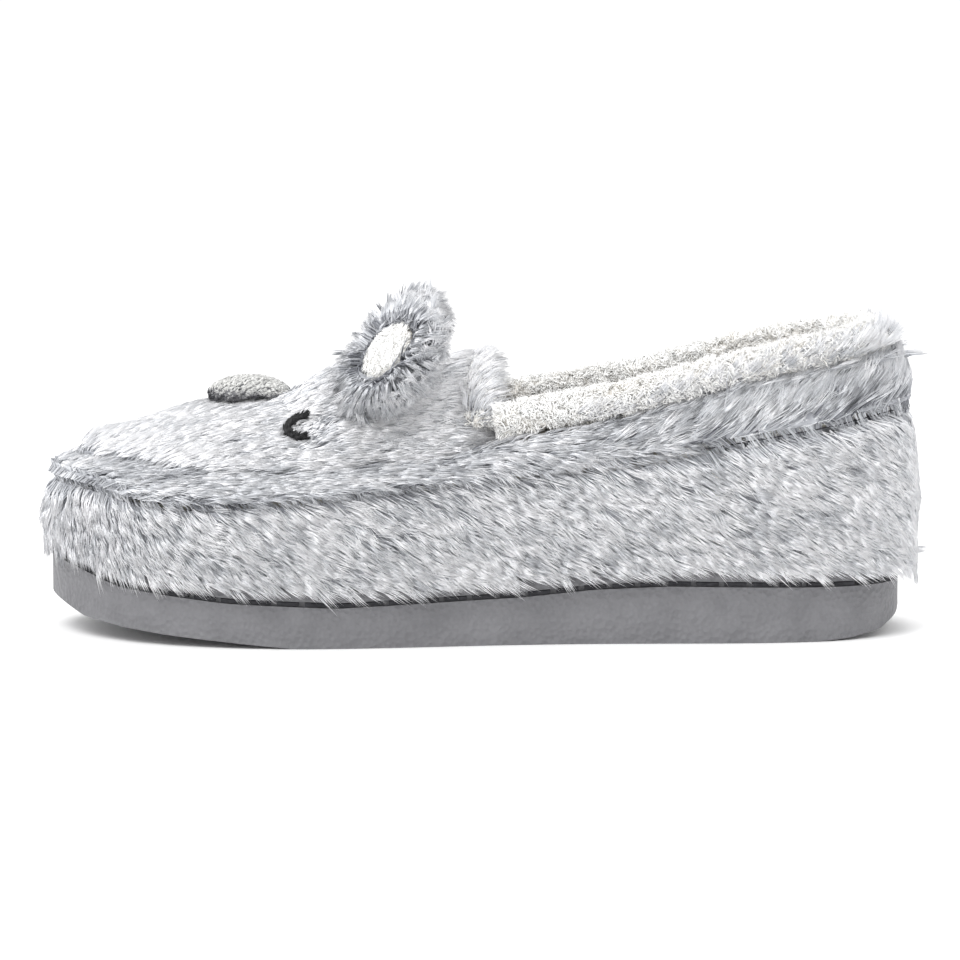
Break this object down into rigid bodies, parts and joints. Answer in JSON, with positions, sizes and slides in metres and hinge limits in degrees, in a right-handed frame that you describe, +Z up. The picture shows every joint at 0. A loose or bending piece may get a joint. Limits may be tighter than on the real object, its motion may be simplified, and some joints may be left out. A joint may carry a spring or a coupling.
{
  "type": "plush animal slipper",
  "caption": "Left-foot closed-back plush house slipper with fur upper, animal face with folding ears, shearling lining and moulded cup sole.",
  "frame": {"origin": "centre of the footprint's bounding box, on the plane the sole stands on", "axes": "+X towards the heel, -X towards the toe, +Y towards the big-toe side, +Z up"},
  "size_m": [0.2578, 0.1035, 0.095],
  "materials": {
    "outsole": "matte",
    "grey_fur": "matte",
    "shearling": "matte",
    "foam": "matte",
    "board": "matte",
    "dark_thread": "matte",
    "black_thread": "satin",
    "nose_velvet": "matte"
  },
  "bodies": {
    "slipper": {"outsole": "outsole", "outsole_stitching": "dark_thread", "insole_board": "board", "footbed_foam": "foam", "sock_lining": "shearling", "vamp_wall": "grey_fur", "heel_panel": "grey_fur", "apron_band": "grey_fur", "collar_band": "grey_fur", "wall_padding": "foam", "heel_counter": "board", "apron_padding": "foam", "collar_foam": "foam", "vamp_lining": "shearling", "heel_lining": "shearling", "apron_lining": "shearling", "collar_lining": "shearling", "collar_roll": "shearling", "throat_roll": "shearling", "face_plug": "grey_fur", "forehead_pad": "foam", "plug_padding": "foam", "plug_lining": "shearling", "wall_seam_thread": "dark_thread", "collar_seam_thread": "dark_thread", "nose_cover": "nose_velvet", "nose_stuffing": "foam", "eye_left": "black_thread", "eye_right": "black_thread"},
    "ear_left": {"ear_left_fur": "grey_fur", "ear_left_wadding": "foam", "ear_left_fleece": "shearling"},
    "ear_right": {"ear_right_fur": "grey_fur", "ear_right_wadding": "foam", "ear_right_fleece": "shearling"}
  },
  "joints": [
    {"name": "ear_left_fold", "type": "hinge", "parent": "slipper", "child": "ear_left", "pos_m": [-0.03405, -0.02375, 0.0739], "axis": [0.1709, -0.8566, -0.4868], "range_deg": [-4, 50], "stiffness_Nm_per_rad": 0.02},
    {"name": "ear_right_fold", "type": "hinge", "parent": "slipper", "child": "ear_right", "pos_m": [-0.03405, 0.02425, 0.0739], "axis": [-0.1709, -0.8566, 0.4868], "range_deg": [-4, 50], "stiffness_Nm_per_rad": 0.02}
  ]
}
